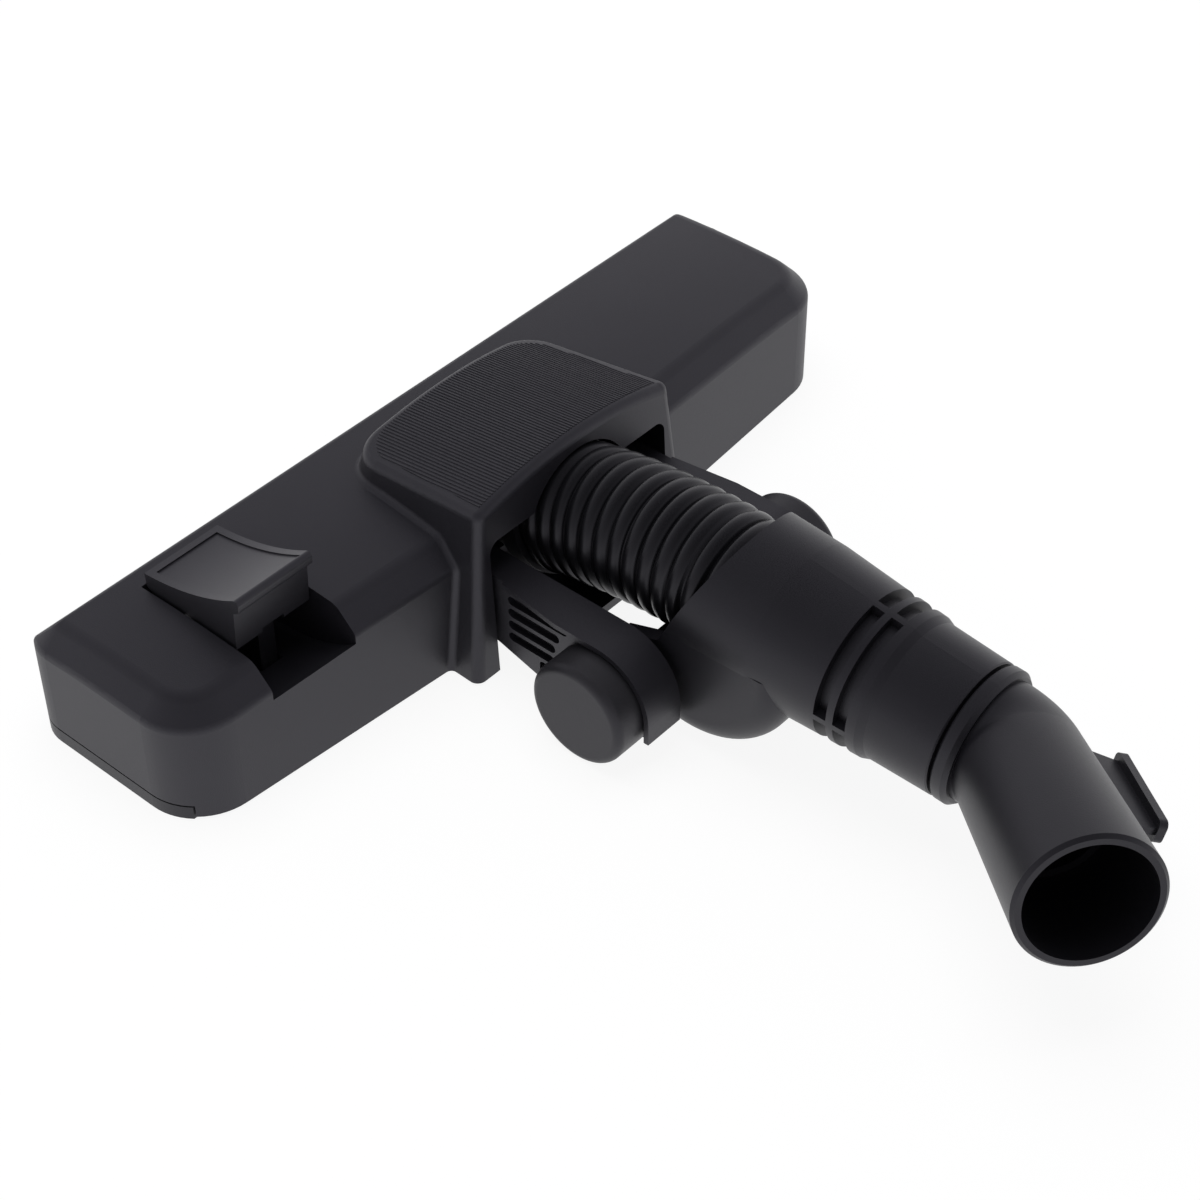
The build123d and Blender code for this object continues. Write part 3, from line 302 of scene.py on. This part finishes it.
bpy.ops.object.select_all(action="DESELECT")
bpy.ops.mesh.primitive_circle_add(vertices=HOSE_SIDES, radius=VALLEY_R, location=hose_point(0.0),
                                  rotation=(angle_from, 0.0, 0.0))
hose = bpy.context.object
hose.name = "ridged_hose"
bpy.ops.object.transform_apply(location=True, rotation=True, scale=True)
bpy.ops.object.mode_set(mode="EDIT")
bpy.ops.mesh.select_all(action="SELECT")
bpy.ops.mesh.spin(steps=RINGS, angle=angle_from - angle_to, center=hose_pivot, axis=(1.0, 0.0, 0.0))
bpy.ops.object.mode_set(mode="OBJECT")
print("hose vertices:", len(hose.data.vertices))

# %% [markdown]
# A ridge is half an ellipse, so it is round on top and meets its neighbour in a sharp valley. Every ring
# is chosen by its angle round the centre of the arc and scaled about its own middle.

# %% Draw out the ridges
HOSE_RIDGES = 14
PLAIN_END = 0.08
RIDGE_TOP, RIDGE_HALF = 0.55, 0.45
HOSE_WALL = 0.0011
HOSE_CREASE = math.radians(50)


def ridge_height(share):
    along = (share - PLAIN_END) / (1 - 2 * PLAIN_END) * HOSE_RIDGES
    if along < 0 or along > HOSE_RIDGES:
        return 0.0
    across = (along % 1.0 - RIDGE_TOP) / RIDGE_HALF
    return math.sqrt(max(0.0, 1.0 - across * across))


ring_of = [[] for _ in range(RINGS + 1)]
for v in hose.data.vertices:
    at = math.atan2(v.co.z - hose_pivot.z, v.co.y - hose_pivot.y)
    ring_of[round((at - angle_from) / (angle_to - angle_from) * RINGS)].append(v.index)
bpy.ops.object.mode_set(mode="EDIT")
for ring, members in enumerate(ring_of):
    lift = ridge_height(ring / RINGS)
    if lift == 0.0:
        continue
    select_only(hose, lambda bm: [bm.verts[index] for index in members])
    grow = 1.0 + (CREST_R / VALLEY_R - 1.0) * lift
    bpy.ops.transform.resize(value=(grow, grow, grow), center_override=hose_point(ring / RINGS))
bpy.ops.mesh.select_all(action="SELECT")
bpy.ops.mesh.normals_make_consistent(inside=False)
bpy.ops.object.mode_set(mode="OBJECT")
wall = hose.modifiers.new("wall", "SOLIDIFY")
wall.thickness = HOSE_WALL
wall.offset = -1.0
bpy.ops.object.modifier_apply(modifier="wall")
bpy.ops.object.shade_smooth_by_angle(angle=HOSE_CREASE)
hose.data.materials.append(hose_gloss)
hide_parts("hose")
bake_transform(hose)
print("hose faces:", len(hose.data.polygons), "ring sizes", len(ring_of[0]), len(ring_of[-1]))

# %% [markdown]
# ## Fine ribs on the raised centre
# The arched top of the head carries a grip field of straight ribs that run from front to rear. One rib
# is a slim bar with its upper edges taken off. The arch is part of a cylinder that falls a little to the
# front, so spinning copies of the bar round the axis of that cylinder lays every rib on the surface.

# %% One rib, spun over the arch
ARCH_RUN, ARCH_FALL = 0.0504, 0.0065
ARCH_TOP = Vector((0.0, -0.0564, 0.0645))
ARCH_R = 0.150
RIB_FROM, RIB_TO = 0.0018, 0.0522
RIB_WIDE, RIB_TALL, RIB_PROUD = 0.0006, 0.0008, 0.00024
RIB_EDGE = 0.00022
RIB_PITCH = 0.00112
RIBS_A_SIDE = 34
SMALL = 1e-6
CREASE = math.radians(40)

arch_along = Vector((0.0, ARCH_RUN, -ARCH_FALL)).normalized()
arch_up = Vector((0.0, ARCH_FALL, ARCH_RUN)).normalized()
arch_axis = ARCH_TOP - ARCH_R * arch_up
rib_long = RIB_TO - RIB_FROM
rib_mid = ARCH_TOP + arch_along * (RIB_FROM + RIB_TO) / 2 + arch_up * (RIB_PROUD - RIB_TALL / 2)


def is_upper_long_edge(edge):
    low = min((v.co - rib_mid).dot(arch_up) for v in edge.verts)
    return low > 0 and abs((edge.verts[0].co - edge.verts[1].co).dot(arch_along)) > rib_long / 2


bpy.ops.object.select_all(action="DESELECT")
bpy.ops.mesh.primitive_cube_add(size=1.0, location=rib_mid,
                                rotation=(math.atan2(-ARCH_FALL, ARCH_RUN), 0.0, 0.0),
                                scale=(RIB_WIDE, rib_long, RIB_TALL))
ribs = bpy.context.object
ribs.name = "grip_ribs"
bpy.ops.object.transform_apply(location=True, rotation=True, scale=True)
bpy.ops.object.mode_set(mode="EDIT")
bpy.ops.mesh.select_mode(type="EDGE")
select_only(ribs, lambda bm: [e for e in bm.edges if is_upper_long_edge(e)])
bpy.ops.mesh.bevel(offset=RIB_EDGE, segments=2, affect="EDGES")
for side in (1, -1):
    select_only(ribs, lambda bm: [f for f in bm.faces
                                  if abs(f.calc_center_median().x) <= RIB_WIDE / 2 + SMALL])
    bpy.ops.mesh.spin(steps=RIBS_A_SIDE, dupli=True, angle=side * RIBS_A_SIDE * RIB_PITCH / ARCH_R,
                      center=arch_axis, axis=arch_along)
bpy.ops.object.mode_set(mode="OBJECT")
print("rib faces:", len(ribs.data.polygons))

# %% [markdown]
# The field ends in a soft outline: a little narrower at the front, with round front corners. A prism of
# that outline keeps what is inside it.

# %% Trim the ribs to their outline
FIELD_REAR, FIELD_FRONT = -0.0540, -0.0052
FIELD_HALF_REAR, FIELD_HALF_FRONT = 0.0379, 0.0355
FIELD_CORNER = 0.010
PRISM_LOW, PRISM_TALL = 0.045, 0.03

field_mid = (FIELD_REAR + FIELD_FRONT) / 2
bpy.ops.object.select_all(action="DESELECT")
bpy.ops.mesh.primitive_plane_add(size=1.0, location=(0.0, field_mid, PRISM_LOW))
outline = bpy.context.object
outline.scale = (2 * FIELD_HALF_REAR, FIELD_FRONT - FIELD_REAR, 1.0)
bpy.ops.object.transform_apply(location=True, rotation=True, scale=True)
bpy.ops.object.mode_set(mode="EDIT")
bpy.ops.mesh.select_mode(type="VERT")
select_only(outline, lambda bm: [v for v in bm.verts if v.co.y > field_mid])
bpy.ops.transform.resize(value=(FIELD_HALF_FRONT / FIELD_HALF_REAR, 1.0, 1.0),
                         center_override=(0.0, FIELD_FRONT, PRISM_LOW))
bpy.ops.mesh.bevel(offset=FIELD_CORNER, segments=8, affect="VERTICES")
bpy.ops.mesh.select_all(action="SELECT")
bpy.ops.mesh.extrude_region_move(TRANSFORM_OT_translate={"value": (0.0, 0.0, PRISM_TALL)})
bpy.ops.mesh.select_all(action="SELECT")
bpy.ops.mesh.normals_make_consistent(inside=False)
bpy.ops.object.mode_set(mode="OBJECT")
bpy.ops.object.select_all(action="DESELECT")
ribs.select_set(True)
bpy.context.view_layer.objects.active = ribs
trim = ribs.modifiers.new("trim", "BOOLEAN")
trim.operation = "INTERSECT"
trim.solver = "EXACT"
trim.object = outline
bpy.ops.object.modifier_apply(modifier="trim")
bpy.data.objects.remove(outline, do_unlink=True)
bpy.ops.object.shade_smooth_by_angle(angle=CREASE)
ribs.data.materials.append(housing_black)
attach(ribs, "head")
print("ribs trimmed:", len(ribs.data.polygons), "faces")

# %% [markdown]
# ## Bristles
# Under the head two rows of nylon tufts can be lowered to the floor. A tuft is a bundle of fine hairs, a
# little splayed at the tips. One hair is a slender cone, it is copied into one tuft, and an array makes
# the row. A rounded strip holds the tufts, as on the real brush.

# %% One tuft, then a row
BRUSH_HALF = 0.121
TUFTS = 47
TUFT_PITCH = (2 * BRUSH_HALF - 0.008) / (TUFTS - 1)
TUFT_R, SPLAY = 0.0011, 0.35
INNER_RING = [(0.55, math.radians(60 * k)) for k in range(6)]
OUTER_RING = [(1.0, math.radians(30 * k + 15)) for k in range(12)]
HAIR_TOP, HAIR_TIP = 0.0092, 0.0015
HAIR_MID = (HAIR_TOP + HAIR_TIP) / 2
HAIR_TIP_R, HAIR_ROOT_R, HAIR_SIDES = 0.00009, 0.00017, 5
HAIR_CLEAR = 0.0002
STRIP_MID, STRIP_WIDE, STRIP_TALL, STRIP_EDGE = 0.010, 0.0036, 0.002, 0.0004
STRIP_LONG = 2 * BRUSH_HALF - 0.002


def first_tuft(name, root):
    bpy.ops.object.select_all(action="DESELECT")
    bpy.ops.mesh.primitive_cone_add(vertices=HAIR_SIDES, radius1=HAIR_TIP_R, radius2=HAIR_ROOT_R,
                                    depth=HAIR_TOP - HAIR_TIP, location=(root.x, root.y, HAIR_MID))
    tuft = bpy.context.object
    tuft.name = name
    bpy.ops.object.transform_apply(location=True, rotation=True, scale=True)
    bpy.ops.object.mode_set(mode="EDIT")
    bpy.ops.mesh.select_all(action="SELECT")
    for reach, bearing in INNER_RING + OUTER_RING:
        step = Vector((math.cos(bearing), math.sin(bearing), 0.0)) * reach * TUFT_R
        bpy.ops.mesh.duplicate()
        bpy.ops.transform.translate(value=step)
        select_only(tuft, lambda bm: [v for v in bm.verts if v.select and v.co.z < HAIR_MID])
        bpy.ops.transform.translate(value=step * SPLAY)
        select_only(tuft, lambda bm: [v for v in bm.verts if (v.co.xy - root).length < HAIR_CLEAR])
    bpy.ops.object.mode_set(mode="OBJECT")
    return tuft


def tuft_row(name, row_y):
    row = first_tuft(name, Vector((-(TUFTS - 1) / 2 * TUFT_PITCH, row_y)))
    repeat = row.modifiers.new("row", "ARRAY")
    repeat.count = TUFTS
    repeat.use_relative_offset = False
    repeat.use_constant_offset = True
    repeat.constant_offset_displace = (TUFT_PITCH, 0.0, 0.0)
    bpy.ops.object.modifier_apply(modifier="row")
    bpy.ops.mesh.primitive_cube_add(size=1.0, location=(0.0, row_y, STRIP_MID),
                                    scale=(STRIP_LONG, STRIP_WIDE, STRIP_TALL))
    strip = bpy.context.object
    bpy.ops.object.transform_apply(location=True, rotation=True, scale=True)
    edge = strip.modifiers.new("edge", "BEVEL")
    edge.width = STRIP_EDGE
    edge.segments = 2
    bpy.ops.object.modifier_apply(modifier="edge")
    bpy.ops.object.select_all(action="DESELECT")
    strip.select_set(True)
    row.select_set(True)
    bpy.context.view_layer.objects.active = row
    bpy.ops.object.join()
    bpy.ops.object.shade_smooth_by_angle(angle=CREASE)
    row.data.materials.clear()
    row.data.materials.append(bristle_dark)
    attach(row, "brush")
    return row


FRONT_ROW_Y, REAR_ROW_Y = 0.014, -0.0288
front_row = tuft_row("front_tufts", FRONT_ROW_Y)
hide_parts("front_bristles")
rear_row = tuft_row("rear_tufts", REAR_ROW_Y)
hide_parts("rear_bristles")
print("tuft faces a row:", len(front_row.data.polygons))
